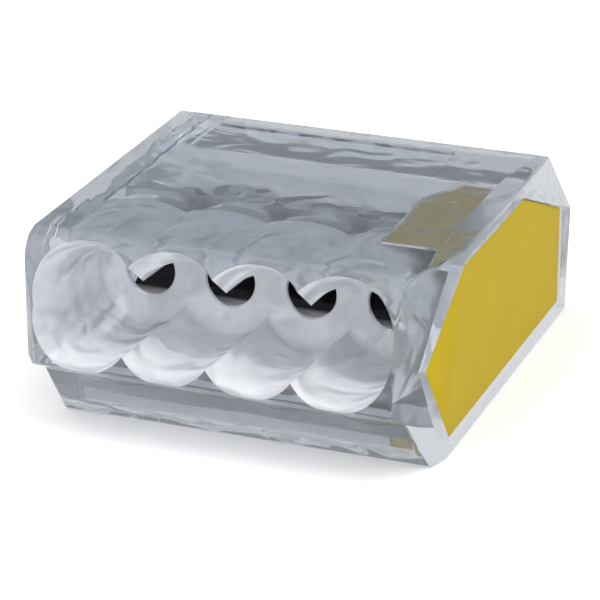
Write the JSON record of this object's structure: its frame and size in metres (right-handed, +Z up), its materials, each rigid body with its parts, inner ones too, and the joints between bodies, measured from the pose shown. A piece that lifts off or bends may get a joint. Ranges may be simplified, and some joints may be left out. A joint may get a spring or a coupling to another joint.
{
  "type": "push-wire connector",
  "caption": "Clear push-in wire connector with a row of funnel entries, sprung clamp tongues over a shared metal strip and a yellow snap-in end cover.",
  "frame": {"origin": "middle of the bounding box, on the underside", "axes": "+X along the row of entries toward the end cover, wire entries face -Y, +Z up"},
  "size_m": [0.019, 0.023, 0.0092],
  "materials": {
    "clear_polycarbonate": "clear, polished mould",
    "yellow_plastic": "opaque, satin",
    "tinned_copper": "bright tin plate over copper",
    "spring_steel": "rolled stainless spring strip"
  },
  "bodies": {
    "block": {"housing": "clear_polycarbonate", "end_cover": "yellow_plastic", "busbar": "tinned_copper", "spring_foot_1": "spring_steel", "spring_foot_2": "spring_steel", "spring_foot_3": "spring_steel", "spring_foot_4": "spring_steel"},
    "tongue_1": {"clamp_tongue_1": "spring_steel"},
    "tongue_2": {"clamp_tongue_2": "spring_steel"},
    "tongue_3": {"clamp_tongue_3": "spring_steel"},
    "tongue_4": {"clamp_tongue_4": "spring_steel"}
  },
  "joints": [
    {"name": "clamp_1", "type": "hinge", "parent": "block", "child": "tongue_1", "pos_m": [-0.00645, -0.00119, 0.00729], "axis": [1, 0, 0], "range_deg": [0, 20], "stiffness_Nm_per_rad": 0.05},
    {"name": "clamp_2", "type": "hinge", "parent": "block", "child": "tongue_2", "pos_m": [-0.00245, -0.00119, 0.00729], "axis": [1, 0, 0], "range_deg": [0, 20], "stiffness_Nm_per_rad": 0.05},
    {"name": "clamp_3", "type": "hinge", "parent": "block", "child": "tongue_3", "pos_m": [0.00155, -0.00119, 0.00729], "axis": [1, 0, 0], "range_deg": [0, 20], "stiffness_Nm_per_rad": 0.05},
    {"name": "clamp_4", "type": "hinge", "parent": "block", "child": "tongue_4", "pos_m": [0.00555, -0.00119, 0.00729], "axis": [1, 0, 0], "range_deg": [0, 20], "stiffness_Nm_per_rad": 0.05}
  ]
}
